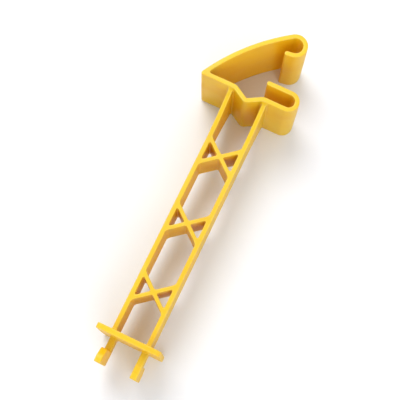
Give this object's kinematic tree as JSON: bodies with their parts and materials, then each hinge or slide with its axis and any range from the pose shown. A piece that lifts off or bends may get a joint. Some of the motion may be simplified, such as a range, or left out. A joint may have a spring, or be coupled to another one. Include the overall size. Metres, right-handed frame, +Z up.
{
  "type": "fence insulator",
  "caption": "Yellow plastic stand-off insulator that wraps round a steel T-post with a hooked strap and holds an electric fence wire in opposed fingers at the end of a braced arm.",
  "frame": {"origin": "middle of the post face, the face of the clip plate that bears on the T-post", "axes": "+X out along the arm from the post to the fence wire, +Y along the fence wire towards the snap hook, +Z up the post, which is also the way the mould opens"},
  "size_m": [0.1588, 0.0431, 0.034],
  "materials": {
    "yellow_plastic": "moulded polyethylene, satin gloss, slightly translucent"
  },
  "bodies": {
    "frame": {"left_side_wall": "yellow_plastic", "left_wall_flare": "yellow_plastic", "right_side_wall": "yellow_plastic", "right_wall_flare": "yellow_plastic", "cross_brace_1": "yellow_plastic", "cross_brace_2": "yellow_plastic", "cross_brace_3": "yellow_plastic", "clip_corner": "yellow_plastic", "left_face_plate": "yellow_plastic", "right_face_plate": "yellow_plastic", "left_notch_flank": "yellow_plastic", "right_notch_flank": "yellow_plastic", "strap_root": "yellow_plastic", "end_flange": "yellow_plastic", "upper_finger_post": "yellow_plastic", "upper_finger_head": "yellow_plastic", "lower_finger_post": "yellow_plastic", "lower_finger_head": "yellow_plastic"},
    "strap": {"wrap_strap": "yellow_plastic", "strap_hook": "yellow_plastic"},
    "snap_hook": {"snap_hook_bend": "yellow_plastic", "snap_hook_lip": "yellow_plastic"}
  },
  "joints": [
    {"name": "wrap_swing", "type": "hinge", "parent": "frame", "child": "strap", "pos_m": [-0.00573, -0.01673, 0], "axis": [0, 0, 1], "range_deg": [-12, 50], "stiffness_Nm_per_rad": 0.8},
    {"name": "snap_hook_flex", "type": "hinge", "parent": "frame", "child": "snap_hook", "pos_m": [0.00115, 0.0163, 0], "axis": [0, 0, -1], "range_deg": [-2, 12], "stiffness_Nm_per_rad": 2}
  ]
}
